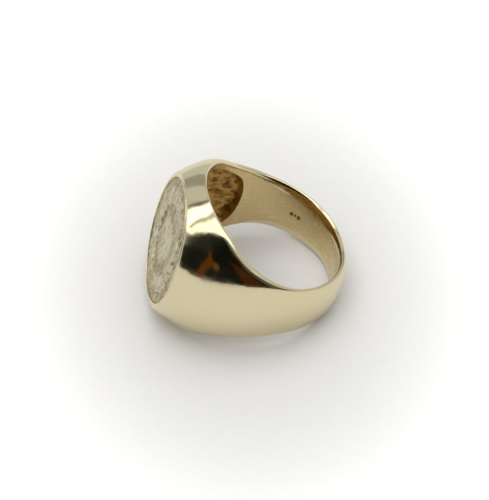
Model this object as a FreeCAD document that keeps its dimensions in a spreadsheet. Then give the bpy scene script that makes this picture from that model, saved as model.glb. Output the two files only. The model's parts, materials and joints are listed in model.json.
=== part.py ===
"""A man's signet ring, bench-built in four pieces: shank, hollow head, seal plate and border rim.

Everything is drawn in the ring's own axes first: the bore lies along Z, the seal faces -Y and the
back of the finger hoop is at +Y.  The pieces are then tipped about X by the rest pose, which stands
the ring on a table the way it lies when it is put down: on the edge of the head and the edge of the
shank, with Z up and the table at Z = 0.
"""

import FreeCAD
import Part
import math
import os

from FreeCAD import Placement, Rotation, Vector

doc = FreeCAD.newDocument("signet_ring")
ORIGIN = Vector(0, 0, 0)
ALONG_X = Vector(1, 0, 0)
ALONG_Z = Vector(0, 0, 1)

# ---------------------------------------------------------------- driving dimensions (mm, degrees)

SIZES = {
    "bore_radius": 9.5,
    "face_distance": 12.1,
    "rail": 0.6,
    "seam_angle": 84,
    # half the band's width, from the back of the hoop round to the middle of the head
    "rear_half_width": 2.65,
    "haunch_half_width": 3.25,
    "side_half_width": 3.95,
    "shoulder_half_width": 5.55,
    "cheek_half_width": 8.05,
    "crown_half_width": 9.15,
    # the metal's thickness outside the bore at the same places, before the face is cut flat
    "rear_thickness": 1.2,
    "haunch_thickness": 1.5,
    "side_thickness": 1.4,
    "shoulder_thickness": 2.65,
    "cheek_thickness": 4.4,
    "crown_thickness": 6.45,
    # how full the dome of the section is: 2 is an ellipse, less is more pointed
    "rear_fullness": 1.75,
    "haunch_fullness": 1.75,
    "side_fullness": 1.75,
    "shoulder_fullness": 1.72,
    "cheek_fullness": 1.75,
    "crown_fullness": 2.2,
    # how much wider the head is at the bore than at its rail
    "crown_flare": 0.6,
    # the hollow in the back of the head
    "wall": 1.05,
    "hollow_from": 1.45,
    "hollow_nose": 9.0,
    "front_wall": 0.75,
    # the seat in the face, the plate in it and the rim round the plate
    "seat_half_width": 7.45,
    "seat_half_height": 8.5,
    "seat_depth": 0.9,
    "plate_thickness": 0.7,
    "rim_width": 0.32,
    "rim_height": 0.14,
    "rim_round": 0.06,
}

sizes = doc.addObject("Spreadsheet::Sheet", "sizes")
for row, (alias, value) in enumerate(SIZES.items(), start=1):
    sizes.set("A%d" % row, alias)
    sizes.set("B%d" % row, str(value))
    sizes.setAlias("B%d" % row, alias)
doc.recompute()


def size(alias):
    """The value of one cell of the sheet."""
    return float(sizes.get(alias))


# ------------------------------------------------------------------------- the run of the band

STATIONS = (("rear", 0), ("haunch", 40), ("side", 80), ("shoulder", 110), ("cheek", 140), ("crown", 180))
BORE = size("bore_radius")
# the sweeps run past their ends by one section and are then cut back to the seam
SECTION_SPACING = 12
FAR = 4 * BORE


def along_band(measure, angle):
    """A smooth value of the half width, thickness or fullness at an angle from the back of the hoop."""
    angle = abs((angle + 180) % 360 - 180)
    knots = [station_angle for name, station_angle in STATIONS]
    values = [size(name + "_" + measure) for name, station_angle in STATIONS]
    # the band is the same on both sides, so it runs on level past the rear and the crown
    knots = [-knots[1]] + knots + [360 - knots[-2]]
    values = [values[1]] + values + [values[-2]]
    slopes = [
        (values[k + 1] - values[k - 1]) / (knots[k + 1] - knots[k - 1]) for k in range(1, len(knots) - 1)
    ]
    for k in range(1, len(knots) - 2):
        if angle <= knots[k + 1]:
            break
    step = knots[k + 1] - knots[k]
    u = (angle - knots[k]) / step
    rise = values[k + 1] - values[k]
    bend = u * (1 - u) * ((1 - u) * (slopes[k - 1] * step - rise) - u * (slopes[k] * step - rise))
    return values[k] + rise * u + bend


def flare(angle):
    """How far the edge at the bore stands out past the rail: nothing at the back, most at the head."""
    headward = (1 - math.cos(math.radians(angle))) / 2
    return size("crown_flare") * headward ** 3


def radial(angle, radius, height):
    """A point given by its angle from the back of the hoop, its distance from the axis and its height."""
    turn = math.radians(angle)
    return Vector(radius * math.sin(turn), radius * math.cos(turn), height)


def section(angle, inset):
    """The closed outline of the band at one angle: flat rails, a domed outside, open into the bore."""
    half = along_band("half_width", angle) - inset
    thick = along_band("thickness", angle) - inset
    edge = half + flare(angle)
    rail = size("rail")
    power = 2 / along_band("fullness", angle)
    dome = []
    steps = 10
    for step in range(steps + 1):
        turn = math.pi / 2 * step / steps
        out = BORE + rail + (thick - rail) * math.sin(turn) ** power
        dome.append((out, half * math.cos(turn) ** power))
    dome[-1] = (BORE + thick, 0)
    upper = [(BORE, edge)] + dome
    profile = upper + [(out, -height) for out, height in reversed(upper[:-1])]
    points = [radial(angle, out, height) for out, height in profile]
    skin = Part.BSplineCurve()
    skin.interpolate(Points=points, Parameters=[float(k) for k in range(len(points))])
    inside = BORE - 1
    corners = [points[-1], radial(angle, inside, -edge), radial(angle, inside, edge), points[0]]
    closing = Part.makePolygon(corners)
    return Part.Wire([skin.toShape()] + closing.Edges)


def swept(first, last, inset):
    """The solid through the sections from one angle to another."""
    count = round((last - first) / SECTION_SPACING)
    angles = [first + (last - first) * k / count for k in range(count + 1)]
    return Part.makeLoft([section(angle, inset) for angle in angles], True, False)


def sector(first, last):
    """A wedge about the bore between two angles, far larger than the ring."""
    wedge = Part.makeCylinder(FAR, 2 * FAR, Vector(0, 0, -FAR), ALONG_Z, last - first)
    wedge.rotate(ORIGIN, ALONG_Z, 90 - last)
    return wedge


def feature(name, shape):
    """Put a shape made in code into the document."""
    made = doc.addObject("Part::Feature", name)
    made.Shape = shape
    return made


def combine(kind, name, base, tool):
    """A boolean of two objects of the document."""
    made = doc.addObject("Part::" + kind, name)
    made.Base = base
    made.Tool = tool
    return made


# --------------------------------------------------------------------------------- shared tools

bore = doc.addObject("Part::Cylinder", "bore_tool")
bore.setExpression("Radius", "sizes.bore_radius")
bore.setExpression("Height", "sizes.bore_radius * 4")
bore.setExpression("Placement.Base.z", "-sizes.bore_radius * 2")

beyond_face = doc.addObject("Part::Box", "beyond_face")
beyond_face.setExpression("Length", "sizes.bore_radius * 4")
beyond_face.setExpression("Width", "sizes.bore_radius * 2")
beyond_face.setExpression("Height", "sizes.bore_radius * 4")
beyond_face.setExpression("Placement.Base.x", "-sizes.bore_radius * 2")
beyond_face.setExpression("Placement.Base.y", "-sizes.face_distance - sizes.bore_radius * 2")
beyond_face.setExpression("Placement.Base.z", "-sizes.bore_radius * 2")

FACE_TURN = Rotation(ALONG_Z, Vector(-1, 0, 0), Vector(0, -1, 0), "ZXY")


def oval(name, shrink, depth, length):
    """An oval block in the face, its long way along the bore, growing outwards from a given depth."""
    outline = doc.addObject("Part::Ellipse", name + "_outline")
    outline.setExpression("MajorRadius", "sizes.seat_half_height - " + shrink)
    outline.setExpression("MinorRadius", "sizes.seat_half_width - " + shrink)
    outline.Placement = Placement(ORIGIN, FACE_TURN)
    outline.setExpression("Placement.Base.y", "-sizes.face_distance + " + depth)
    block = doc.addObject("Part::Extrusion", name)
    block.Base = outline
    block.DirMode = "Custom"
    block.Dir = Vector(0, -1, 0)
    block.Solid = True
    block.setExpression("LengthFwd", length)
    return block


# ----------------------------------------------------------------------------------------- shank

seam = size("seam_angle")
shank_sweep = swept(-seam - SECTION_SPACING, seam + SECTION_SPACING, 0)
shank_skin = feature("shank_skin", shank_sweep.common(sector(-seam, seam)))
shank = combine("Cut", "shank", shank_skin, bore)

# ------------------------------------------------------------------------------------------ head

head_sweep = swept(seam - SECTION_SPACING, 360 - seam + SECTION_SPACING, 0)
head_skin = feature("head_skin", head_sweep.common(sector(seam, 360 - seam)))

# the back of the head is scooped out, which leaves an even wall all round and a floor under the
# seat; towards the shank the scoop ends in a shallow curve
hollow_core = swept(seam, 360 - seam, size("wall"))
nose = size("hollow_nose")
nose_centre = size("hollow_from") + nose
round_end = Part.makeCylinder(nose, 2 * FAR, Vector(-FAR, -nose_centre, 0), ALONG_X)
straight_sides = Part.makeBox(2 * FAR, FAR, 2 * nose, Vector(-FAR, -nose_centre - FAR, -nose))
scoop = hollow_core.common(round_end.fuse(straight_sides))
floor = size("face_distance") - size("seat_depth") - size("front_wall")
behind_floor = Part.makeBox(2 * FAR, 2 * FAR, 2 * FAR, Vector(-FAR, -floor, -FAR))
hollow = feature("hollow", scoop.common(behind_floor))

flat_head = combine("Cut", "flat_head", head_skin, beyond_face)
bored_head = combine("Cut", "bored_head", flat_head, bore)
hollow_head = combine("Cut", "hollow_head", bored_head, hollow)
seat = oval("seat", "0", "sizes.seat_depth", "sizes.seat_depth * 2")
head = combine("Cut", "head", hollow_head, seat)

# --------------------------------------------------------------------------------- seal plate

seal_plate = oval("seal_plate", "0", "sizes.seat_depth", "sizes.plate_thickness")

# -------------------------------------------------------------------------------- border rim

rim_length = "sizes.seat_depth - sizes.plate_thickness + sizes.rim_height"
rim_outside = oval("rim_outside", "0", "sizes.seat_depth - sizes.plate_thickness", rim_length)
rim_inside = oval("rim_inside", "sizes.rim_width", "sizes.seat_depth", "sizes.seat_depth * 3")
square_rim = combine("Cut", "square_rim", rim_outside, rim_inside)
doc.recompute()

rim_front = min(vertex.Point.y for vertex in square_rim.Shape.Vertexes)
crest_edges = [
    number
    for number, edge in enumerate(square_rim.Shape.Edges, start=1)
    if all(abs(vertex.Point.y - rim_front) < 0.01 for vertex in edge.Vertexes)
]
border_rim = doc.addObject("Part::Fillet", "border_rim")
border_rim.Base = square_rim
border_rim.Edges = [(number, size("rim_round"), size("rim_round")) for number in crest_edges]
doc.recompute()

# ------------------------------------------------------------------------------- resting pose

SUB_PARTS = [shank, head, seal_plate, border_rim]


def lowest(piece, tilt):
    """How low a piece reaches when the back of the hoop is tipped down about X."""
    tipped = piece.Shape.copy()
    tipped.rotate(ORIGIN, ALONG_X, -tilt)
    return tipped.optimalBoundingBox(False).ZMin


# the ring rocks until the edge of the head and the edge of the shank are both on the table
least_tilt, most_tilt = 0.0, 45.0
while most_tilt - least_tilt > 0.001:
    rest_tilt = (least_tilt + most_tilt) / 2
    if lowest(shank, rest_tilt) > lowest(head, rest_tilt):
        least_tilt = rest_tilt
    else:
        most_tilt = rest_tilt

tipped_ring = Part.makeCompound([piece.Shape for piece in SUB_PARTS])
tipped_ring.rotate(ORIGIN, ALONG_X, -rest_tilt)
box = tipped_ring.optimalBoundingBox(False)
middle = Vector(box.Center.x, box.Center.y, box.ZMin)
for piece in SUB_PARTS:
    piece.Label = piece.Name
    piece.Placement = Placement(-middle, Rotation(ALONG_X, -rest_tilt))
doc.recompute()

# --------------------------------------------------------------------------------- check, write

for made in doc.Objects:
    if "Invalid" in made.State or "Error" in made.State:
        raise RuntimeError("%s did not build: %s" % (made.Name, made.State))
for piece in SUB_PARTS:
    if piece.Shape.isNull() or not piece.Shape.isValid() or len(piece.Shape.Solids) != 1:
        raise RuntimeError("%s is not one valid solid" % piece.Label)

os.makedirs("parts", exist_ok=True)
for piece in SUB_PARTS:
    piece.Shape.exportStep("parts/" + piece.Label + ".step")
    print("%-11s %7.1f mm3" % (piece.Label, piece.Shape.Volume))
print("tipped by %.3f degrees; bore centre at Y %.4f, Z %.4f" % (rest_tilt, -middle.y, -middle.z))
print("overall %.2f x %.2f x %.2f mm" % (box.XLength, box.YLength, box.ZLength))
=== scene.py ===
"""A heavy gold signet ring lying on a pale table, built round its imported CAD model.

The ring is laid out in its own axes, with the bore along Z, the seal facing -Y and the back of the
hoop at +Y, and is then turned into the frame by the pose that the model's bore mount gives.
"""

import json
import math

import bpy
import numpy as np
from bpy.props import FloatProperty, FloatVectorProperty, PointerProperty
from mathutils import Matrix, Vector, noise


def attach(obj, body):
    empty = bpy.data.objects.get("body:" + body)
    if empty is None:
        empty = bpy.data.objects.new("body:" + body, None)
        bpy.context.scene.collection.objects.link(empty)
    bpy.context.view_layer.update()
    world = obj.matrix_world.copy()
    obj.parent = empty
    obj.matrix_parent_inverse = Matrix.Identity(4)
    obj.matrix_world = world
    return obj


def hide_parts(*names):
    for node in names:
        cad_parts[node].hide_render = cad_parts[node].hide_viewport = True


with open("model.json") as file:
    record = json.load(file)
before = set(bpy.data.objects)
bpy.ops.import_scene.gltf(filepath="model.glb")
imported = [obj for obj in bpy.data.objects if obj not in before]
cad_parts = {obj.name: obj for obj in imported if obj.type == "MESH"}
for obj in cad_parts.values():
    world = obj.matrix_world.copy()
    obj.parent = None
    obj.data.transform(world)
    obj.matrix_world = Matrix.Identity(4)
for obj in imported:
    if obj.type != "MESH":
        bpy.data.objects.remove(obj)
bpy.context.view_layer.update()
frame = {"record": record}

bl_info = {
    "name": "Signet Ring",
    "version": (1, 0, 0),
    "blender": (4, 5, 0),
    "location": "View3D > Sidebar > Ring",
    "description": "Models a gold signet ring with a hollow-backed head and a carved seal",
    "category": "Object",
}

MM = 0.001
BORE_MOUNT = next(mount for mount in frame["record"]["mounts"] if mount["name"] == "bore")
CENTRE = np.array(BORE_MOUNT["pos_m"])
AXIS = np.array(BORE_MOUNT["axis"])
ACROSS = np.array([1.0, 0.0, 0.0])
RING_AXES = np.stack([ACROSS, np.cross(AXIS, ACROSS), AXIS])
TIP = math.atan2(AXIS[1], AXIS[2])
# degrees round the hoop from its back, where the sizes of the band are given
STATIONS = np.array([0.0, 40.0, 80.0, 110.0, 140.0, 180.0])
SEW_DISTANCE = 0.001 * MM
SMOOTH_UNDER = math.radians(38)


# ------------------------------------------------------------------------------ what can be set


def length(name, description, default):
    return FloatProperty(name=name, description=description, default=default, unit="LENGTH")


def colour(name, description, default):
    return FloatVectorProperty(
        name=name, description=description, default=default, size=3, subtype="COLOR", min=0, max=1
    )


def along(name, description, default, unit="NONE"):
    return FloatVectorProperty(
        name=name, description=description, default=default, size=len(STATIONS), unit=unit
    )


def in_mm(*values):
    return [value * MM for value in values]


class BandSizes(bpy.types.PropertyGroup):
    """The hoop and head, given at six stations from the back of the hoop to the middle of the head."""

    bore_radius: length("Bore radius", "Half the finger hole", BORE_MOUNT["dims"]["r_mm"] * MM)
    half_width: along(
        "Half widths",
        "Half the band's width at the stations",
        in_mm(2.65, 3.25, 3.95, 5.55, 8.05, 9.15),
        unit="LENGTH",
    )
    thickness: along(
        "Thicknesses",
        "Metal outside the bore at the stations",
        in_mm(1.2, 1.5, 1.4, 2.65, 4.4, 6.45),
        unit="LENGTH",
    )
    fullness: along(
        "Fullness",
        "How full the domed section is: 2 is an ellipse",
        (1.75, 1.75, 1.75, 1.72, 1.75, 2.2),
    )
    rail: length("Rail", "Width of the flat edge on both sides of the band", 0.6 * MM)
    flare: length("Flare", "How far the head's edge at the bore stands out past its rail", 0.6 * MM)
    seam: FloatProperty(
        name="Seam", description="Degrees from the back to the joint with the head", default=84
    )
    splay: length("Splay", "How far out of the bore the flare dies away", 2.6 * MM)
    edge_round: length("Edge rounding", "How far the bore's rounded edge reaches over the rail", 0.52 * MM)
    comfort: length("Comfort rounding", "How far the rounded edge reaches into the hoop's bore", 2.4 * MM)
    head_comfort: length("Head comfort rounding", "The same in the head, beside the hollow", 0.7 * MM)


class HeadSizes(bpy.types.PropertyGroup):
    """The flat face, the seat in it and the hollow behind it."""

    face: length("Face distance", "From the bore's axis to the flat of the face", 12.1 * MM)
    lip_round: length("Lip rounding", "Rounding of the edge round the face", 0.08 * MM)
    seat_width: length("Seat half width", "Half the seat across the finger", 7.54 * MM)
    seat_height: length("Seat half height", "Half the seat along the finger", 8.6 * MM)
    seat_depth: length("Seat depth", "How deep the seat is let into the face", 0.9 * MM)
    wall: length("Wall", "Metal left round the hollow", 1.05 * MM)
    floor: length("Floor distance", "From the bore's axis to the floor of the hollow", 10.45 * MM)
    hollow_from: length("Hollow start", "How far in front of the bore's axis the hollow starts", 1.45 * MM)
    hollow_nose: length("Hollow nose", "Radius of the hollow's end towards the shank", 9.0 * MM)
    roughness: length("Casting lumps", "Height of the lumps left by the casting", 0.36 * MM)


class SealSizes(bpy.types.PropertyGroup):
    """The carved plate and the rim round it."""

    plate: length("Plate thickness", "Thickness of the plate under its carving", 0.7 * MM)
    ground: length("Ground", "How far the carving's ground lies above the plate", 0.12 * MM)
    relief: length("Relief height", "How far the carving stands up from its ground", 0.33 * MM)
    rim_width: length("Rim width", "Width of the border rim", 0.24 * MM)
    rim_height: length("Rim height", "How far the rim stands out of the face", 0.07 * MM)
    rim_round: length("Rim rounding", "Rounding of the rim's crest", 0.06 * MM)


class GoldColours(bpy.types.PropertyGroup):
    """The colours of the metal and of what has settled in it."""

    polished: colour("Polished gold", "Colour of the bare polished metal", (0.785, 0.69, 0.455))
    carved: colour("Carved gold", "Colour of the matte carving", (0.75, 0.695, 0.54))
    cuts: colour("Cut gold", "Colour of the metal down in the cuts of the carving", (0.34, 0.27, 0.12))
    cast: colour("Cast gold", "Colour of the unpolished casting", (0.70, 0.47, 0.155))
    bore: colour("Bore gold", "Colour of the worn bore", (0.68, 0.52, 0.24))
    tarnish: colour("Tarnish", "Colour of the dirt and tarnish in the low places", (0.26, 0.15, 0.04))


def settings():
    return bpy.context.scene.signet_ring


class RingSettings(bpy.types.PropertyGroup):
    """Everything about the ring that can be set."""

    band: PointerProperty(type=BandSizes)
    head: PointerProperty(type=HeadSizes)
    seal: PointerProperty(type=SealSizes)
    gold: PointerProperty(type=GoldColours)


# --------------------------------------------------------------------------- the band's surface

# degrees round the seam over which the rounding of the hoop turns into that of the head
COMFORT_BLEND = 28
# the most of the band's half width that the rounding takes
COMFORT_SHARE = 0.75


def along_band(values, angle):
    """A smooth value at angles from the back of the hoop, from the values at the stations."""
    values = np.array(values)
    angle = np.abs((np.asarray(angle, float) + 180) % 360 - 180)
    # the band is the same on both sides, so it runs on level past the rear and the crown
    knots = np.concatenate([[-STATIONS[1]], STATIONS, [360 - STATIONS[-2]]])
    padded = np.concatenate([[values[1]], values, [values[-2]]])
    slopes = (padded[2:] - padded[:-2]) / (knots[2:] - knots[:-2])
    k = np.clip(np.searchsorted(STATIONS, angle, side="right"), 1, len(STATIONS) - 1)
    step = STATIONS[k] - STATIONS[k - 1]
    u = (angle - STATIONS[k - 1]) / step
    rise = values[k] - values[k - 1]
    bend = u * (1 - u) * ((1 - u) * (slopes[k - 1] * step - rise) - u * (slopes[k] * step - rise))
    return values[k - 1] + rise * u + bend


def half_width(angle):
    return along_band(settings().band.half_width, angle)


def flare(angle):
    """How far the edge at the bore stands out: nothing at the back, most at the head."""
    return settings().band.flare * ((1 - np.cos(np.radians(angle))) / 2) ** 3


def edge_width(angle):
    """Half the band's width right at the bore."""
    return half_width(angle) + flare(angle)


def comfort(angle):
    """How far the bore's edges are rounded inwards, less beside the hollow than round the hoop."""
    band = settings().band
    away = np.abs((np.asarray(angle, float) + 180) % 360 - 180)
    share = np.clip((away - band.seam) / COMFORT_BLEND + 0.5, 0, 1)
    reach = band.comfort + (band.head_comfort - band.comfort) * share**2 * (3 - 2 * share)
    return np.minimum(reach, COMFORT_SHARE * edge_width(angle))


def radial(angle, radius, height):
    """Points given by angle from the back of the hoop, distance from the axis and height."""
    turn = np.radians(angle)
    return np.stack(np.broadcast_arrays(radius * np.sin(turn), radius * np.cos(turn), height), axis=-1)


def dome(angle, side):
    """Points of the domed outside: side runs from -1 at one rail over the ridge to 1 at the other."""
    band = settings().band
    power = 2 / along_band(band.fullness, angle)
    turn = np.maximum(1 - np.abs(side), 0) * math.pi / 2
    thick = along_band(band.thickness, angle)
    out = band.rail + (thick - band.rail) * np.sin(turn) ** power
    splay = flare(angle) * np.clip(1 - out / band.splay, 0, 1) ** 2
    height = half_width(angle) * np.maximum(np.cos(turn), 0) ** power + splay
    return radial(angle, band.bore_radius + out, np.sign(side) * height)


def soft_corner(start, corner, end, steps):
    """Rows of points round a corner from start to end."""
    rows = []
    for step in range(steps + 1):
        t = step / steps
        rows.append((1 - t) ** 2 * start + 2 * t * (1 - t) * corner + t**2 * end)
    return rows


def towards(start, target, distance):
    """Points a given distance from start on the way to target."""
    way = target - start
    size = np.linalg.norm(way, axis=-1, keepdims=True)
    return start + way / np.maximum(size, 1e-9) * distance


def between(start, end, steps):
    """Rows of points strictly between two rows."""
    return [start + (end - start) * k / steps for k in range(1, steps)]


# ------------------------------------------------------------------------------ making a piece


def deselect():
    if bpy.context.mode != "OBJECT":
        bpy.ops.object.mode_set(mode="OBJECT")
    bpy.ops.object.select_all(action="DESELECT")


def lay_sheet(name, rows, materials, pattern, relief=None):
    """Lay a sheet of cells over rows of points, sew up its seam and its poles, and smooth it.

    Every row holds the same number of points and runs once round the piece.  pattern says which
    material each cell has, and relief, where it is given, holds a height for each point that the
    materials can read.
    """
    table = np.stack(rows)
    table = np.concatenate([table, table[:, :1]], axis=1)
    down, around = table.shape[0] - 1, table.shape[1] - 1
    deselect()
    bpy.ops.mesh.primitive_grid_add(x_subdivisions=around, y_subdivisions=down, size=2)
    piece = bpy.context.object
    piece.name = name
    mesh = piece.data
    mesh.name = name
    places = np.empty(len(mesh.vertices) * 3, np.float32)
    mesh.vertices.foreach_get("co", places)
    places = places.reshape(-1, 3)
    column = np.rint((places[:, 0] + 1) / 2 * around).astype(int)
    row = np.rint((places[:, 1] + 1) / 2 * down).astype(int)
    world = table[row, column] @ RING_AXES + CENTRE
    mesh.vertices.foreach_set("co", world.astype(np.float32).ravel())
    if relief is not None:
        heights = mesh.attributes.new("relief", "FLOAT", "POINT")
        heights.data.foreach_set("value", np.stack(relief)[row, column % around].astype(np.float32))
    corners = np.empty(len(mesh.loops), np.int32)
    mesh.loops.foreach_get("vertex_index", corners)
    corners = corners.reshape(-1, 4)
    cells = np.broadcast_to(pattern, (down, around))[row[corners].min(axis=1), column[corners].min(axis=1)]
    for material in materials:
        mesh.materials.append(material)
    mesh.polygons.foreach_set("material_index", cells.astype(np.int32))
    mesh.update()
    bpy.ops.object.mode_set(mode="EDIT")
    bpy.ops.mesh.select_all(action="SELECT")
    bpy.ops.mesh.remove_doubles(threshold=SEW_DISTANCE)
    bpy.ops.mesh.normals_make_consistent(inside=False)
    bpy.ops.object.mode_set(mode="OBJECT")
    bpy.ops.object.shade_smooth_by_angle(angle=SMOOTH_UNDER)
    return piece


def finish_piece(piece, slot, *nodes):
    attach(piece, "root")
    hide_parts(*nodes)


# ----------------------------------------------------------------------------------- materials


def new_group(name, inputs, outputs):
    """A shader node group with named sockets: inputs are (name, kind, default)."""
    group = bpy.data.node_groups.new(name, "ShaderNodeTree")
    for socket, kind, default in inputs:
        made = group.interface.new_socket(name=socket, in_out="INPUT", socket_type=kind)
        made.default_value = default
    for socket, kind in outputs:
        group.interface.new_socket(name=socket, in_out="OUTPUT", socket_type=kind)
    return group


class Wires:
    """Adds nodes to a tree and wires them up."""

    def __init__(self, tree):
        self.tree = tree

    def node(self, kind, inputs=None, **settings_):
        made = self.tree.nodes.new(kind)
        for key, value in settings_.items():
            setattr(made, key, value)
        for key, value in (inputs or {}).items():
            if isinstance(value, bpy.types.NodeSocket):
                self.tree.links.new(value, made.inputs[key])
            else:
                made.inputs[key].default_value = value
        return made

    def group(self, group, **inputs):
        made = self.tree.nodes.new("ShaderNodeGroup")
        made.node_tree = group
        for key, value in inputs.items():
            socket = made.inputs[key.replace("_", " ")]
            if isinstance(value, bpy.types.NodeSocket):
                self.tree.links.new(value, socket)
            else:
                socket.default_value = value
        return made

    def maths(self, operation, first, second=0.0, clamp=False):
        made = self.node("ShaderNodeMath", {0: first, 1: second}, operation=operation, use_clamp=clamp)
        return made.outputs[0]

    def ramp(self, value, low, high, to_low=0.0, to_high=1.0):
        made = self.node(
            "ShaderNodeMapRange",
            {"Value": value, "From Min": low, "From Max": high, "To Min": to_low, "To Max": to_high},
            interpolation_type="SMOOTHSTEP",
        )
        return made.outputs["Result"]

    def noise(self, vector, scale, detail=2.0, roughness=0.5):
        made = self.node(
            "ShaderNodeTexNoise", {"Vector": vector, "Scale": scale, "Detail": detail, "Roughness": roughness}
        )
        return made.outputs["Fac"]

    def relief(self):
        """The height that a sheet carries at each of its points."""
        return self.node("ShaderNodeAttribute", attribute_name="relief").outputs["Fac"]

    def mix(self, factor, first, second):
        made = self.node(
            "ShaderNodeMix", {"Factor": factor, 6: first, 7: second}, data_type="RGBA", blend_type="MIX"
        )
        return made.outputs[2]


def ring_space_group():
    """Where a point is in the ring's own axes, in millimetres, so that patterns follow the ring."""
    group = new_group("Ring Space", [], [("Vector", "NodeSocketVector")])
    wires = Wires(group)
    here = wires.node("ShaderNodeTexCoord").outputs["Object"]
    turned = wires.node(
        "ShaderNodeMapping",
        {"Vector": here, "Location": tuple(CENTRE), "Rotation": (-TIP, 0, 0), "Scale": (MM, MM, MM)},
        vector_type="TEXTURE",
    )
    out = wires.node("NodeGroupOutput")
    group.links.new(turned.outputs["Vector"], out.inputs["Vector"])
    return group


def scratches_group():
    """Fine hairline scratches in three directions, as a height and a mask."""
    group = new_group(
        "Hairline Scratches",
        [
            ("Vector", "NodeSocketVector", (0, 0, 0)),
            ("Scale", "NodeSocketFloat", 1.0),
            ("Amount", "NodeSocketFloat", 0.5),
        ],
        [("Mask", "NodeSocketFloat")],
    )
    wires = Wires(group)
    given = wires.node("NodeGroupInput")
    total = None
    for turn in ((0.4, 0.3, 0.2), (1.7, 0.9, 0.5), (0.2, 2.2, 1.4)):
        turned = wires.node(
            "ShaderNodeMapping",
            {"Vector": given.outputs["Vector"], "Rotation": turn, "Scale": (0.35, 9.0, 9.0)},
        )
        lines = wires.noise(turned.outputs["Vector"], given.outputs["Scale"], 1.0)
        off_line = wires.maths("ABSOLUTE", wires.maths("SUBTRACT", lines, 0.5))
        line = wires.ramp(off_line, 0.0, 0.012, 1.0, 0.0)
        patch = wires.ramp(wires.noise(turned.outputs["Vector"], 0.21, 1.0), 0.5, 0.68)
        line = wires.maths("MULTIPLY", line, patch)
        total = line if total is None else wires.maths("MAXIMUM", total, line)
    mask = wires.maths("MULTIPLY", total, given.outputs["Amount"])
    out = wires.node("NodeGroupOutput")
    group.links.new(mask, out.inputs["Mask"])
    return group


def grain_group():
    """Sanding marks that run round the bore: fine lines with broader streaks in them."""
    group = new_group(
        "Sanding Grain",
        [("Vector", "NodeSocketVector", (0, 0, 0)), ("Fineness", "NodeSocketFloat", 6.0)],
        [("Grain", "NodeSocketFloat")],
    )
    wires = Wires(group)
    given = wires.node("NodeGroupInput")
    drawn = wires.node("ShaderNodeMapping", {"Vector": given.outputs["Vector"], "Scale": (0.12, 0.12, 1.0)})
    fine = wires.noise(drawn.outputs["Vector"], given.outputs["Fineness"], 4.0, 0.65)
    broad = wires.noise(given.outputs["Vector"], 0.7, 2.0)
    grain = wires.maths("ADD", wires.maths("MULTIPLY", fine, 0.75), wires.maths("MULTIPLY", broad, 0.25))
    out = wires.node("NodeGroupOutput")
    group.links.new(grain, out.inputs["Grain"])
    return group


def shared_groups():
    made = {}
    for name, maker in (
        ("Ring Space", ring_space_group),
        ("Hairline Scratches", scratches_group),
        ("Sanding Grain", grain_group),
    ):
        made[name] = bpy.data.node_groups.get(name) or maker()
    return made


def made_once(maker):
    """Let a material's function make it the first time and hand back the same one from then on."""

    def made():
        return bpy.data.materials.get(maker.__name__) or maker()

    return made


def new_metal(name):
    """A metal material with its shader, its wires and the ring's own coordinates."""
    material = bpy.data.materials.new(name)
    material.use_nodes = True
    material.node_tree.nodes.clear()
    wires = Wires(material.node_tree)
    shader = wires.node("ShaderNodeBsdfPrincipled", {"Metallic": 1.0})
    output = wires.node("ShaderNodeOutputMaterial")
    material.node_tree.links.new(shader.outputs["BSDF"], output.inputs["Surface"])
    groups = shared_groups()
    place = wires.group(groups["Ring Space"]).outputs["Vector"]
    return material, wires, groups, place


def wire_metal(material, tint, rough, height, distance):
    """Give a metal its colour, its roughness and bumps that follow a height; hand it back."""
    tree = material.node_tree
    shader = tree.nodes["Principled BSDF"]
    bump = Wires(tree).node("ShaderNodeBump", {"Height": height, "Strength": 1.0, "Distance": distance})
    for name, source in (("Base Color", tint), ("Roughness", rough), ("Normal", bump.outputs["Normal"])):
        tree.links.new(source, shader.inputs[name])
    return material


def rgba(value):
    return (*value, 1.0)


@made_once
def mirror_gold():
    """Mirror polish with faint hairlines, a little haze and the soft ripple of hand buffing."""
    material, wires, groups, place = new_metal("mirror_gold")
    gold = settings().gold
    hairlines = wires.group(groups["Hairline Scratches"], Vector=place, Scale=1.1, Amount=0.6).outputs["Mask"]
    haze = wires.noise(place, 0.55, 3.0)
    smear = wires.ramp(haze, 0.35, 0.75, 0.09, 0.15)
    rough = wires.maths("ADD", smear, wires.maths("MULTIPLY", hairlines, 0.12))
    tint = wires.mix(wires.ramp(haze, 0.3, 0.8, 0.0, 0.25), rgba(gold.polished), rgba(gold.carved))
    ripple = wires.noise(place, 0.8, 1.0)
    ripple = wires.maths("MULTIPLY", ripple, 1.6)
    height = wires.maths("SUBTRACT", ripple, wires.maths("MULTIPLY", hairlines, 0.1))
    return wire_metal(material, tint, rough, height, 0.008 * MM)


@made_once
def satin_gold():
    """The bore: sanded round and round, softly worn."""
    material, wires, groups, place = new_metal("satin_gold")
    gold = settings().gold
    grain = wires.group(groups["Sanding Grain"], Vector=place, Fineness=9.0).outputs["Grain"]
    hairlines = wires.group(groups["Hairline Scratches"], Vector=place, Scale=1.6, Amount=0.8).outputs["Mask"]
    rough = wires.ramp(grain, 0.35, 0.65, 0.15, 0.32)
    bright = wires.mix(wires.ramp(grain, 0.38, 0.66, 0.0, 0.7), rgba(gold.bore), rgba(gold.polished))
    depth = wires.maths("MULTIPLY", wires.relief(), -1.0)
    tint = wires.mix(wires.ramp(depth, 0.1, 0.7), bright, rgba(gold.tarnish))
    height = wires.maths("SUBTRACT", grain, wires.maths("MULTIPLY", hairlines, 0.3))
    return wire_metal(material, tint, rough, height, 0.012 * MM)


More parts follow.
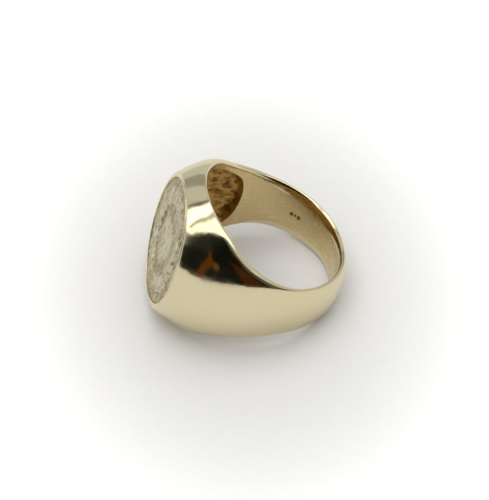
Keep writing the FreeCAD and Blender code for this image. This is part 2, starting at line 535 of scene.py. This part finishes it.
@made_once
def cast_gold():
    """The hollow: unpolished casting, dull and dark in its pits and brighter on its lumps."""
    material, wires, _, place = new_metal("cast_gold")
    gold = settings().gold
    grit = wires.noise(place, 3.2, 5.0, 0.6)
    uneven = wires.maths("MULTIPLY", wires.maths("SUBTRACT", grit, 0.5), 0.6)
    shown = wires.maths("ADD", wires.relief(), uneven)
    tint = wires.mix(wires.ramp(shown, -0.75, 0.25), rgba(gold.tarnish), rgba(gold.cast))
    rough = wires.ramp(shown, -0.3, 0.5, 0.55, 0.33)
    return wire_metal(material, tint, rough, grit, 0.07 * MM)


@made_once
def matte_gold():
    """The seal: matte and finely stippled, lighter the higher it stands and darker in the cuts, with lighter
    streaks up the plate that are painted highlights.
    """
    material, wires, _, place = new_metal("matte_gold")
    gold = settings().gold
    stipple = wires.noise(place, 7.0, 4.0, 0.7)
    uneven = wires.maths("MULTIPLY", wires.maths("SUBTRACT", stipple, 0.5), 0.5)
    shown = wires.maths("ADD", wires.relief(), uneven)
    # painted highlights: lighter streaks up the plate, made from stretched noise and added below to the share
    # of carved colour
    painted_highlight_streaks = wires.node("ShaderNodeMapping", {"Vector": place, "Scale": (2.2, 2.2, 0.35)})
    drawn = wires.noise(painted_highlight_streaks.outputs["Vector"], 1.0, 3.0)
    cuts = wires.ramp(shown, -0.45, 0.45, 0.0, 0.56)
    cuts = wires.maths("ADD", cuts, wires.ramp(drawn, 0.42, 0.58, 0.0, 0.44), True)
    tint = wires.mix(cuts, rgba(gold.cuts), rgba(gold.carved))
    rough = wires.ramp(shown, -0.2, 1.0, 0.58, 0.36)
    return wire_metal(material, tint, rough, stipple, 0.05 * MM)


# --------------------------------------------------------------------------------------- shank

# where the punched mark is, how many degrees round it the cells are finer, and how fine
STAMP_ANGLE = -54.5
STAMP_REACH = 6
STAMP_STEP = 0.25
STAMP_DEPTH = 0.12 * MM
SKIN_CELLS = 72
BORE_CELLS = 44
# cells in the bend from rail to bore, and how many of them are as worn as the bore
BEND_CELLS = 9
WORN_CELLS = 3


def stamp(angle, height):
    """The punched mark, a round dot between two lozenges: 1 where it is deep and 0 outside it."""
    bore = settings().band.bore_radius
    across = np.radians(angle - STAMP_ANGLE) * bore / MM
    up = height / MM
    depth = np.zeros_like(across)
    for middle in (-0.52, 0.52):
        inside = 1 - np.abs(across - middle) / 0.3 - np.abs(up) / 0.36
        depth = np.maximum(depth, np.clip(inside * 4, 0, 1))
    dot = 1 - np.hypot(across, up) / 0.2
    return np.maximum(depth, np.clip(dot * 3, 0, 1))


def shank_rows():
    """Closed sections of the hoop from one seam to the other, with a pole in the middle of each end.

    With them come, for each cell round a section, whether it is on the worn bore, and for each
    point the depth of the punched mark.
    """
    band = settings().band
    bore = band.bore_radius
    angles = np.arange(-band.seam, band.seam + 0.5, 1.0)
    near_stamp = np.abs(angles - STAMP_ANGLE) < STAMP_REACH
    fine_reach = STAMP_REACH - STAMP_STEP
    fine = np.arange(STAMP_ANGLE - fine_reach, STAMP_ANGLE + fine_reach + STAMP_STEP / 2, STAMP_STEP)
    angles = np.sort(np.concatenate([angles[~near_stamp], fine]))
    sides = np.linspace(1, -1, SKIN_CELLS + 1)
    run = np.linspace(-1, 1, BORE_CELLS + 1)[1:-1]
    # closer together in the middle of the bore, where the mark is
    run = 0.3 * run + 0.7 * run**3
    rows, relief = [], []
    for angle in angles:
        skin = dome(angle, sides)
        edge = float(edge_width(angle))
        inner = edge - float(comfort(angle))
        bends = []
        for side, rail in ((-1, skin[-1]), (1, skin[0])):
            corner = radial(angle, bore, side * edge)
            on_rail = towards(corner, rail, band.edge_round)
            bend = soft_corner(on_rail, corner, radial(angle, bore, side * inner), BEND_CELLS)
            bends.append(np.array([(rail + on_rail) / 2, *bend]))
        heights = run * inner
        mark = stamp(np.full_like(heights, angle), heights)
        floor = radial(angle, bore + mark * STAMP_DEPTH, heights)
        rows.append(np.concatenate([skin, bends[0], floor, bends[1][::-1]]))
        before = len(skin) + len(bends[0])
        relief.append(np.concatenate([np.zeros(before), -mark, np.zeros(len(bends[1]))]))
    worn = np.zeros(len(rows[0]), int)
    first = len(sides) + 1 + BEND_CELLS - WORN_CELLS
    worn[first : first + len(run) + 1 + 2 * WORN_CELLS] = 1
    start, end = (np.broadcast_to(rows[k].mean(axis=0), rows[k].shape) for k in (0, -1))
    return [start, *rows, end], worn, [relief[0], *relief, relief[-1]]


class RING_OT_shank(bpy.types.Operator):
    """Make the finger hoop, with its satin bore and the punched mark in it"""

    bl_idname = "ring.shank"
    bl_label = "Shank"

    def execute(self, context):
        rows, worn, relief = shank_rows()
        piece = lay_sheet("finger_hoop", rows, [mirror_gold(), satin_gold()], worn, relief)
        finish_piece(piece, "polished_gold", "shank")
        return {"FINISHED"}


# ---------------------------------------------------------------------------------------- head

SEAM_CELLS = 64
RAIL_CELLS = 160
LIP_CELLS = 5
SHOULDER_CELLS = 60
RAIL_FLAT_CELLS = 3
BORE_EDGE_CELLS = 22
HOLLOW_CELLS = 80
# the part of the way to the middle of the hollow that is laid in cells, and how they crowd
HOLLOW_SHARE = 0.985
HOLLOW_CROWDING = 1.15
# the casting's pebbles and finer grains to a millimetre
PEBBLE_DENSITY = 1.15
GRAIN_DENSITY = 2.6


def head_border():
    """Once round the head's edge: angle and side of each point, along a rail, a seam, a rail, a seam."""
    seam = settings().band.seam
    rail_angles = np.linspace(seam, 360 - seam, RAIL_CELLS + 1)
    seam_sides = np.linspace(1, -1, SEAM_CELLS + 1)
    rail, end = np.ones(RAIL_CELLS), np.ones(SEAM_CELLS)
    angles = [rail_angles[:-1], end * (360 - seam), rail_angles[:0:-1], end * seam]
    sides = [rail, seam_sides[:-1], -rail, seam_sides[:0:-1]]
    return np.concatenate(angles), np.concatenate(sides)


def solve_share(inside):
    """The share, from 0 to 1 in each column, at which a rising test stops being true."""
    low, high = 0.0, 1.0
    for _ in range(40):
        middle = (low + high) / 2
        within = inside(middle)
        low = np.where(within, middle, low)
        high = np.where(within, high, middle)
    return (low + high) / 2


def oval(directions, shrink, distance):
    """Points of the seat's oval, drawn in by some amount, in given directions, at a distance."""
    head = settings().head
    wide, tall = head.seat_width - shrink, head.seat_height - shrink
    reach = 1 / np.hypot(np.cos(directions) / wide, np.sin(directions) / tall)
    return np.stack(
        [reach * np.cos(directions), np.full_like(directions, -distance), reach * np.sin(directions)], axis=-1
    )


def hollow_reach(angle, height):
    """1 at the edge of the hollow's mouth on the bore and less inside it."""
    band, head = settings().band, settings().head
    ahead = band.bore_radius * np.cos(np.radians(angle))
    nose_middle = -head.hollow_from - head.hollow_nose
    nose = np.hypot(np.maximum(ahead - nose_middle, 0), height) / head.hollow_nose
    sides = np.abs(height) / (edge_width(angle) - head.wall)
    return (nose**10 + sides**10) ** 0.1


def hollow_depth(angle, height):
    """How far the hollow is scooped outwards from the bore, before the casting lumps."""
    band, head = settings().band, settings().head
    inner_half = edge_width(angle) - head.wall
    share = np.clip(np.abs(height) / inner_half, 0, 1)
    full = along_band(band.fullness, angle)
    rise = np.maximum(along_band(band.thickness, angle) - head.wall - band.rail * 0.5, 0.15 * MM)
    skin = band.rail * 0.5 + rise * (1 - share**full) ** (1 / full)
    forward = np.maximum(-np.cos(np.radians(angle)), 0.05)
    floor = head.floor / forward - band.bore_radius
    near = 1 - np.clip(hollow_reach(angle, height), 0, 1)
    slope = np.clip(near / 0.07, 0, 1)
    return np.minimum(skin, floor) * slope * (2 - slope)


def pebble(place):
    """A round bump about the middle of each cell of a foam: 1 on top and 0 in the creases."""
    return max(1 - (noise.voronoi(place)[0][0] / 0.8) ** 2, 0)


def casting_lumps(points):
    """The rounded lumps that the casting left, with creases between them: from about -1 to 1."""
    lumps = []
    for point in points.reshape(-1, 3) / MM:
        place = Vector(point)
        bent = place * 1.1
        wander = Vector((noise.noise(bent), noise.noise(bent + Vector((7, 3, 5))), 0)) * 0.35
        large = pebble((place + wander) * PEBBLE_DENSITY)
        small = pebble((place - wander) * GRAIN_DENSITY)
        lumps.append(0.7 - 0.8 * large - 0.42 * small + 0.6 * noise.noise(place * 0.7))
    return np.array(lumps).reshape(points.shape[:-1])


def head_rows():
    """Rings of points from the middle of the seat, over the face and shoulders and through the bore
    to the middle of the hollow, with the finish of each row and the depth of the casting lumps.
    """
    band, head = settings().band, settings().head
    bore = band.bore_radius
    border_angle, border_side = head_border()

    def skin(share):
        return dome(180 + share * (border_angle - 180), share * border_side)

    at_face = solve_share(lambda share: skin(share)[:, 1] < -head.face)
    crease = skin(at_face)
    directions = np.arctan2(crease[:, 2], crease[:, 0])
    rows = [np.broadcast_to(np.array([0.0, -(head.face - head.seat_depth), 0.0]), crease.shape)]
    seat_floor = oval(directions, 0, head.face - head.seat_depth)
    rows += [rows[0] + (seat_floor - rows[0]) * share for share in (0.05, 0.5)]
    rows.append(seat_floor)
    seat_top = oval(directions, 0, head.face)
    rows.append(seat_top)
    on_lip = towards(crease, seat_top, head.lip_round)
    rows.append((seat_top + on_lip) / 2)
    speed = np.linalg.norm(skin(at_face + 0.001) - crease, axis=-1) / 0.001
    past_crease = at_face + head.lip_round / speed
    rows += soft_corner(on_lip, crease, skin(past_crease), LIP_CELLS)
    for k in range(1, SHOULDER_CELLS + 1):
        rows.append(skin(past_crease + (1 - past_crease) * k / SHOULDER_CELLS))

    # the rails bend softly into the bore; the flat ends at the seams run straight down to it
    at_end = np.abs(np.abs(border_angle - 180) - (180 - band.seam)) < 0.001
    at_seam = (at_end & (np.abs(border_side) < 0.999))[:, None]
    edge = edge_width(border_angle)
    inner_height = border_side * (edge - comfort(border_angle))
    inner = radial(border_angle, bore, inner_height)
    corner = radial(border_angle, bore, border_side * edge)
    on_rail = np.where(at_seam, rows[-1] * 0.6 + inner * 0.4, towards(corner, rows[-1], band.edge_round))
    corner = np.where(at_seam, (on_rail + inner) / 2, corner)
    rows += between(rows[-1], on_rail, RAIL_FLAT_CELLS)
    rows += soft_corner(on_rail, corner, inner, BEND_CELLS)
    worn_row = len(rows) - 1 - WORN_CELLS

    def on_bore(share):
        return 180 + share * (border_angle - 180), share * inner_height

    mouth = solve_share(lambda share: hollow_reach(*on_bore(share)) < 1)
    for k in range(1, BORE_EDGE_CELLS + 1):
        angle, height = on_bore(1 + (mouth - 1) * k / BORE_EDGE_CELLS)
        rows.append(radial(angle, bore, height))
    hollow_row = len(rows) - 1
    relief = [np.zeros(len(border_angle))] * len(rows)
    for k in range(1, HOLLOW_CELLS + 1):
        angle, height = on_bore(mouth * (1 - (k / HOLLOW_CELLS) ** HOLLOW_CROWDING * HOLLOW_SHARE))
        depth = hollow_depth(angle, height)
        lumps = casting_lumps(radial(angle, bore + depth, height)) * np.clip(depth / (0.7 * MM), 0, 1)
        rows.append(radial(angle, bore + depth + lumps * head.roughness, height))
        relief.append(-lumps)
    rows.append(np.broadcast_to(rows[-1].mean(axis=0), crease.shape))
    relief.append(relief[-1])
    finish = np.zeros((len(rows) - 1, 1), int)
    finish[worn_row:] = 1
    finish[hollow_row:] = 2
    return rows, finish, relief


class RING_OT_head(bpy.types.Operator):
    """Make the head: shoulders, the lip and seat of the face, and the rough hollow behind it"""

    bl_idname = "ring.head"
    bl_label = "Head"

    def execute(self, context):
        rows, finish, relief = head_rows()
        materials = [mirror_gold(), satin_gold(), cast_gold()]
        piece = lay_sheet("hollow_head", rows, materials, finish, relief)
        finish_piece(piece, "polished_gold", "head")
        return {"FINISHED"}


# ---------------------------------------------------------------------------------- seal plate

# the wreath's half sizes in millimetres, its leaves' places along each branch, and how each of the
# three leaves at a place leans and how long it is
WREATH_WIDE, WREATH_TALL = 5.0, 6.2
LEAF_PLACES = [-math.pi / 2 + 0.22 + number * 0.258 for number in range(11)]
LEAVES = ((0.62, 2.1), (-0.5, 1.85), (0.05, 1.7))
# the shield's half width, the height of its top and its whole height, in millimetres
SHIELD_WIDE, SHIELD_TOP, SHIELD_TALL = 2.5, 2.9, 6.2
PLATE_POINTS = 420
PLATE_CELLS = 117
# the carving ends at this share of the way out to the plate's edge
CARVED_SHARE = 0.985


def leaf(across, up, root, heading, size):
    """A pointed leaf with a hollow along its middle: 1 at its crest and 0 outside it."""
    east, north = across - root[0], up - root[1]
    run = (east * math.cos(heading) + north * math.sin(heading)) / size
    side = (north * math.cos(heading) - east * math.sin(heading)) / size
    width = 0.3 * np.sin(np.clip(run, 0, 1) * math.pi) ** 0.8 + 1e-6
    body = np.clip(1 - (side / width) ** 2, 0, 1) * ((run > 0) & (run < 1))
    vein = np.exp(-((side / 0.05) ** 2))
    return np.sqrt(body) * (1 - 0.45 * vein)


def wreath(across, up):
    """Two branches of leaves with a berry at each place, from 0 on the ground to 1 on the crests."""
    height = np.zeros_like(across)
    for branch in (-1, 1):
        for climb in LEAF_PLACES:
            root = (branch * WREATH_WIDE * math.cos(climb), WREATH_TALL * math.sin(climb))
            travel = math.atan2(WREATH_TALL * math.cos(climb), -WREATH_WIDE * math.sin(climb) * branch)
            for lean, size in LEAVES:
                height = np.maximum(height, leaf(across, up, root, travel + branch * lean, size))
            berry = 1 - np.hypot(across - root[0] * 0.86, up - root[1] * 0.86) / 0.3
            height = np.maximum(height, 0.9 * np.sqrt(np.clip(berry * 2, 0, 1)))
    return height


def shield(across, up):
    """A blank shield with a border and a chevron fold, from 0 on the ground to about 1."""
    share = np.clip((SHIELD_TOP - up) / SHIELD_TALL, 0, 1)
    flank = SHIELD_WIDE * np.sqrt(np.clip(1 - share**2.6, 0, 1))
    within = (up < SHIELD_TOP) & (up > SHIELD_TOP - SHIELD_TALL)
    inside = np.minimum(np.where(within, flank - np.abs(across), -1), SHIELD_TOP - up)
    border = np.clip(1 - np.abs(inside - 0.28) / 0.22, 0, 1)
    height = np.clip(inside / 0.12, 0, 1) * (0.55 + 0.45 * border)
    fold = np.clip(1 - np.abs(np.abs(across) * 0.8 - (up + 1.4)) / 0.55, 0, 1)
    return np.where(inside > 0.55, height + 0.35 * fold, height)


def tool_marks(across, up):
    """The graver's uneven strokes: long ones that run up the plate and short ones over them."""
    marks = []
    for x, z in zip(across, up):
        long_stroke = noise.noise(Vector((x * 2.6, z * 0.8, 4.0)))
        short_stroke = noise.noise(Vector((x * 4.5, z * 3.0, 9.0)))
        marks.append(0.35 * long_stroke + 0.2 * short_stroke)
    return np.array(marks)


def plate_rows():
    """Rings of points from the middle of the carving out to its edge, down its side and under it."""
    head, seal = settings().head, settings().seal
    directions = np.linspace(0, 2 * math.pi, PLATE_POINTS + 1)[:-1]
    top = head.face - head.seat_depth + seal.plate
    edge = oval(directions, 0, top)
    middle = np.array([0.0, -top, 0.0])
    rows, reliefs = [], []
    for share in (0, 0.03, *np.linspace(0.06, CARVED_SHARE, PLATE_CELLS + 1), 1):
        flat = middle + (edge - middle) * share
        across, up = flat[:, 0] / MM, flat[:, 2] / MM
        carved = np.maximum(wreath(across, up), shield(across, up))
        inside = np.clip((CARVED_SHARE - share) * 25, 0, 1)
        height = (carved + tool_marks(across, up)) * inside
        lift = height * seal.relief + seal.ground * inside
        rows.append(flat + np.stack([0 * lift, -lift, 0 * lift], axis=-1))
        reliefs.append(height)
    below = oval(directions, 0, head.face - head.seat_depth)
    bottom = np.array([0.0, -(head.face - head.seat_depth), 0.0])
    for row in (below, bottom + (below - bottom) * 0.05, np.broadcast_to(bottom, below.shape)):
        rows.append(row)
        reliefs.append(np.zeros(len(directions)))
    rows[0] = np.broadcast_to(rows[0].mean(axis=0), below.shape)
    return rows, reliefs


class RING_OT_seal_plate(bpy.types.Operator):
    """Make the oval plate with its carved relief"""

    bl_idname = "ring.seal_plate"
    bl_label = "Seal plate"

    def execute(self, context):
        rows, reliefs = plate_rows()
        piece = lay_sheet("carved_seal", rows, [matte_gold()], 0, reliefs)
        finish_piece(piece, "carved_gold", "seal_plate")
        return {"FINISHED"}


# ---------------------------------------------------------------------------------- border rim

RIM_POINTS = 360
CREST_CELLS = 5


def choose_edges(mesh, test):
    """Select only the edges whose middle passes a test, in edit mode."""
    bpy.ops.object.mode_set(mode="OBJECT")
    for group in (mesh.vertices, mesh.edges, mesh.polygons):
        group.foreach_set("select", [False] * len(group))
    for edge in mesh.edges:
        start, end = (mesh.vertices[k].co for k in edge.vertices)
        edge.select = test((start + end) / 2, end - start)
    bpy.ops.object.mode_set(mode="EDIT")


def draw_in(head, width):
    """The scaling that brings the seat's oval in by some width."""
    return (1 - width / head.seat_width, 1 - width / head.seat_height, 1)


class RING_OT_border_rim(bpy.types.Operator):
    """Make the smooth rim round the carving: an oval drawn up, in and down again, with a soft crest"""

    bl_idname = "ring.border_rim"
    bl_label = "Border rim"

    def execute(self, context):
        head, seal = settings().head, settings().seal
        tall = head.seat_depth - seal.plate + seal.rim_height
        deselect()
        bpy.ops.mesh.primitive_circle_add(vertices=RIM_POINTS, radius=1)
        piece = context.object
        piece.name = "smooth_rim"
        mesh = piece.data
        mesh.name = piece.name
        bpy.ops.object.mode_set(mode="EDIT")
        bpy.ops.mesh.select_mode(type="EDGE")
        bpy.ops.mesh.select_all(action="SELECT")
        bpy.ops.transform.resize(value=(head.seat_width, head.seat_height, 1), center_override=(0, 0, 0))
        bpy.ops.mesh.extrude_edges_move(TRANSFORM_OT_translate={"value": (0, 0, tall)})
        bpy.ops.mesh.extrude_edges_move()
        bpy.ops.transform.resize(value=draw_in(head, seal.rim_width), center_override=(0, 0, 0))
        bpy.ops.mesh.extrude_edges_move(TRANSFORM_OT_translate={"value": (0, 0, -tall)})
        choose_edges(mesh, lambda middle, run: middle.z < tall / 2 and abs(run.z) < tall / 2)
        bpy.ops.mesh.bridge_edge_loops()

        def on_crest(middle, run):
            """Edges that run along the top, and not the ones that cross it."""
            outward = Vector((middle.x / head.seat_width**2, middle.y / head.seat_height**2, 0)).normalized()
            return middle.z > tall * 0.99 and abs(run.normalized().dot(outward)) < 0.5

        choose_edges(mesh, on_crest)
        bpy.ops.mesh.bevel(
            offset=seal.rim_round, offset_type="OFFSET", segments=CREST_CELLS, affect="EDGES"
        )
        bpy.ops.mesh.select_all(action="SELECT")
        bpy.ops.mesh.remove_doubles(threshold=SEW_DISTANCE)
        bpy.ops.mesh.normals_make_consistent(inside=False)
        bpy.ops.object.mode_set(mode="OBJECT")
        # the oval's own X, Y and Z become the ring's X, Z and -Y
        axes = Matrix([RING_AXES[0], RING_AXES[2], -RING_AXES[1]]).transposed().to_4x4()
        foot = Vector(CENTRE - (head.face - head.seat_depth + seal.plate) * RING_AXES[1])
        piece.matrix_world = Matrix.Translation(foot) @ axes
        bpy.ops.object.transform_apply(location=True, rotation=True, scale=True)
        mesh.materials.append(mirror_gold())
        bpy.ops.object.shade_smooth_by_angle(angle=SMOOTH_UNDER)
        finish_piece(piece, "polished_gold", "border_rim")
        return {"FINISHED"}


# --------------------------------------------------------------------------------------- stage

# the camera's place round the ring and its roll, how far off it is, its lens, and how far it looks
# past the middle of the bore
AZIMUTH, ELEVATION, ROLL = (math.radians(angle) for angle in (87.03, 44.89, -4.52))
DISTANCE = 516 * MM
LENS = 301
LOOK_RIGHT, LOOK_UP = -1.9 * MM, 0.4 * MM

# the places of the studio's cards, in metres: overhead ones by height, upright ones by X
OVERHEAD = 0.9
ROOM = 0.6
AMBER_PLACE = 0.58
WHITE, GREY, AMBER = (1.0, 0.99, 0.95), (0.98, 1.0, 0.97), (1.0, 0.34, 0.05)
ROOM_DARK, ROOM_DIM = (0.9, 1.0, 0.8), (0.95, 1.0, 0.9)

# painted light: for the camera alone the table glows more and more between these distances from the ring,
# turning white further off while it stays greyer near the ring
PAINTED_GLOW_FROM, PAINTED_GLOW_TO = 12 * MM, 42 * MM


def glowing(name, shade, strength):
    """A plain material that gives off light."""
    material = bpy.data.materials.new(name)
    material.use_nodes = True
    material.node_tree.nodes.clear()
    wires = Wires(material.node_tree)
    glow = wires.node("ShaderNodeEmission", {"Color": rgba(shade), "Strength": strength})
    output = wires.node("ShaderNodeOutputMaterial")
    material.node_tree.links.new(glow.outputs[0], output.inputs["Surface"])
    return material


def studio_card(name, strips, shade, strength, fill=False):
    """A flat card of the studio, seen only in reflections, or only by matte surfaces if it is a fill.

    strips lists the two long edges of the card as rows of points.
    """
    near, away = strips
    steps = range(len(near) - 1)
    faces = [(k, k + 1, len(near) + k + 1, len(near) + k) for k in steps]
    mesh = bpy.data.meshes.new(name)
    mesh.from_pydata([Vector(point) for point in (*near, *away)], [], faces)
    card = bpy.data.objects.new(name, mesh)
    bpy.context.scene.collection.objects.link(card)
    mesh.materials.append(glowing(name, shade, strength))
    card.visible_camera = False
    card.visible_glossy = not fill
    card.visible_diffuse = fill
    card.visible_shadow = False


def wall(x, y_from, y_to, z_from, z_to):
    """The edges of an upright card that faces along X."""
    return [(x, y_from, z_from), (x, y_from, z_to)], [(x, y_to, z_from), (x, y_to, z_to)]


def ceiling(x_from, x_to, y_from, y_to, height):
    """The edges of a level card overhead."""
    return [(x_from, y_from, height), (x_from, y_to, height)], [(x_to, y_from, height), (x_to, y_to, height)]


def slanting_strip(shift, width, height):
    """The edges of a narrow strip that runs slantwise overhead."""
    run = [(-0.58, 0.69), (-0.41, 0.24), (-0.29, 0.0), (-0.14, -0.25), (0.0, -0.48), (0.15, -0.8)]
    edges = []
    for side in (-0.5, 0.5):
        move = shift + side * width
        edges.append([(x + 0.9 * move, y + 0.44 * move, height) for x, y in run])
    return edges


def table_material():
    """Pale paper with painted light: for the camera alone it glows, more the further it is from the ring, and
    so pales to white away from the ring.
    """
    material = bpy.data.materials.new("painted_glow_table")
    material.use_nodes = True
    wires = Wires(material.node_tree)
    shader = material.node_tree.nodes["Principled BSDF"]
    here = wires.node("ShaderNodeTexCoord").outputs["Object"]
    squeezed = wires.node("ShaderNodeMapping", {"Vector": here, "Scale": (0.71, 1.0, 1.0)}).outputs["Vector"]
    far = wires.node("ShaderNodeVectorMath", {0: squeezed}, operation="LENGTH").outputs["Value"]
    # painted light: the glow is seen only by camera rays and rises away from the ring
    seen = wires.node("ShaderNodeLightPath").outputs["Is Camera Ray"]
    glow = wires.maths("MULTIPLY", wires.ramp(far, PAINTED_GLOW_FROM, PAINTED_GLOW_TO, 0.0, 0.45), seen)
    fibres = wires.ramp(wires.noise(here, 900.0, 3.0), 0.3, 0.7)
    tone = wires.mix(fibres, (0.775, 0.775, 0.77, 1), (0.785, 0.785, 0.78, 1))
    material.node_tree.links.new(tone, shader.inputs["Base Color"])
    material.node_tree.links.new(glow, shader.inputs["Emission Strength"])
    shader.inputs["Emission Color"].default_value = (1, 1, 1, 1)
    shader.inputs["Roughness"].default_value = 0.8
    shader.inputs["Specular IOR Level"].default_value = 0.2
    return material


def light_tent():
    """Pale walls all round, which look white from the camera."""
    world = bpy.data.worlds.new("light_tent")
    world.use_nodes = True
    wires = Wires(world.node_tree)
    seen = wires.node("ShaderNodeLightPath").outputs["Is Camera Ray"]
    shade = wires.mix(seen, (0.60, 0.59, 0.56, 1), (1, 1, 1, 1))
    world.node_tree.links.new(shade, world.node_tree.nodes["Background"].inputs["Color"])
    return world


def overhead_cards():
    """The bright sheet and tube overhead with the gap between them, the shade and the left wall."""
    studio_card("fill", ceiling(-0.7, 0.7, -0.7, 0.7, 1.2), (1, 1, 1), 2.1, fill=True)
    near_edge = [(0.62, -0.95), (0.37, -0.2), (0.27, 0.15), (0.24, 1.5)]
    strips = [(-0.18, y, OVERHEAD) for _, y in near_edge], [(x, y, OVERHEAD) for x, y in near_edge]
    studio_card("overhead_sheet", strips, WHITE, 1.7)
    studio_card("overhead_gap", slanting_strip(0.235, 0.07, OVERHEAD - 0.01), GREY, 0.5)
    studio_card("overhead_tube", slanting_strip(0.08, 0.19, OVERHEAD - 0.005), WHITE, 2.1)
    studio_card("overhead_shade", slanting_strip(-0.055, 0.085, OVERHEAD), GREY, 0.05)
    studio_card("left_wall", wall(-0.9, -0.6, 0.6, 0.0, 1.9), GREY, 0.64)
    studio_card("left_shelf", wall(-0.88, -0.6, 0.6, 0.36, 0.79), GREY, 0.36)


def room_cards():
    """The dark room on the right, with the lit things in it."""
    studio_card("dark_room", wall(ROOM, -0.9, 0.4, 0.0, 1.9), ROOM_DARK, 0.007)
    studio_card("dark_room_foot", wall(ROOM, -1.2, -0.9, 0.0, 0.5), ROOM_DARK, 0.012)
    studio_card("dark_room_lintel", wall(ROOM, -1.05, -0.9, 0.5, 1.0), ROOM_DIM, 0.16)
    studio_card("dark_room_side", wall(ROOM, 0.4, 0.72, 0.0, 1.9), ROOM_DIM, 0.1)
    studio_card("dark_room_edge", wall(ROOM, 0.72, 1.04, 0.0, 1.9), ROOM_DIM, 0.3)
    studio_card("green_curtain", wall(ROOM - 0.01, -0.85, -0.35, 0.45, 1.15), (0.85, 1.0, 0.7), 0.02)
    left = [(-0.64, 0.0), (-0.53, 0.2), (-0.43, 0.34), (-0.40, 0.52)]
    right = [(-0.46, -0.02), (-0.42, 0.12), (-0.28, 0.2), (-0.37, 0.5)]
    strips = [[(AMBER_PLACE, y, z) for y, z in edge] for edge in (left, right)]
    studio_card("amber_box", strips, AMBER, 0.1)
    lamp = wall(AMBER_PLACE - 0.01, -0.27, -0.21, 0.14, 0.23)
    studio_card("amber_lamp", lamp, (1.0, 0.5, 0.12), 0.17)
    studio_card("amber_shelf", wall(AMBER_PLACE, 0.05, 0.3, 0.0, 0.3), AMBER, 0.055)
    studio_card("amber_rail", wall(AMBER_PLACE, 0.22, 0.9, 0.45, 0.55), AMBER, 0.04)


class RING_OT_stage(bpy.types.Operator):
    """Lay the table, set up the light tent and aim the camera"""

    bl_idname = "ring.stage"
    bl_label = "Stage"

    def execute(self, context):
        scene = context.scene
        scene.view_settings.view_transform = "Standard"
        deselect()
        bpy.ops.mesh.primitive_plane_add(size=6)
        table = context.object
        table.name = "table"
        table.data.materials.append(table_material())

        scene.world = light_tent()

        overhead_cards()
        room_cards()
        aim_camera(context)
        return {"FINISHED"}


def aim_camera(context):
    """A long lens looks down on the head's side, a little rolled."""
    reach = math.cos(ELEVATION)
    back = Vector((math.sin(AZIMUTH) * reach, -math.cos(AZIMUTH) * reach, math.sin(ELEVATION)))
    level = Vector((math.cos(AZIMUTH), math.sin(AZIMUTH), 0))
    upright = back.cross(level)
    right = math.cos(ROLL) * level + math.sin(ROLL) * upright
    up = back.cross(right)
    camera_data = bpy.data.cameras.new("camera")
    camera_data.lens = LENS
    camera_data.clip_start = 0.01
    camera_data.clip_end = 20
    camera = bpy.data.objects.new("camera", camera_data)
    context.scene.collection.objects.link(camera)
    target = Vector(CENTRE) + right * LOOK_RIGHT + up * LOOK_UP
    turn = Matrix((right, up, back)).transposed().to_4x4()
    camera.matrix_world = Matrix.Translation(target + back * DISTANCE) @ turn
    context.scene.camera = camera


# ---------------------------------------------------------------------------------- the add-on


class RING_PT_sidebar(bpy.types.Panel):
    """The ring's pieces in the sidebar of the 3D view"""

    bl_label = "Signet Ring"
    bl_idname = "RING_PT_sidebar"
    bl_space_type = "VIEW_3D"
    bl_region_type = "UI"
    bl_category = "Ring"

    def draw(self, context):
        column = self.layout.column()
        for operator in OPERATORS:
            column.operator(operator.bl_idname)


OPERATORS = (RING_OT_stage, RING_OT_shank, RING_OT_head, RING_OT_seal_plate, RING_OT_border_rim)
CLASSES = (BandSizes, HeadSizes, SealSizes, GoldColours, RingSettings, *OPERATORS, RING_PT_sidebar)


def register():
    for cls in CLASSES:
        bpy.utils.register_class(cls)
    bpy.types.Scene.signet_ring = PointerProperty(type=RingSettings)


def unregister():
    del bpy.types.Scene.signet_ring
    for cls in reversed(CLASSES):
        bpy.utils.unregister_class(cls)


def main():
    register()
    bpy.ops.ring.stage()
    bpy.ops.ring.shank()
    bpy.ops.ring.head()
    bpy.ops.ring.seal_plate()
    bpy.ops.ring.border_rim()


if __name__ == "__main__":
    main()
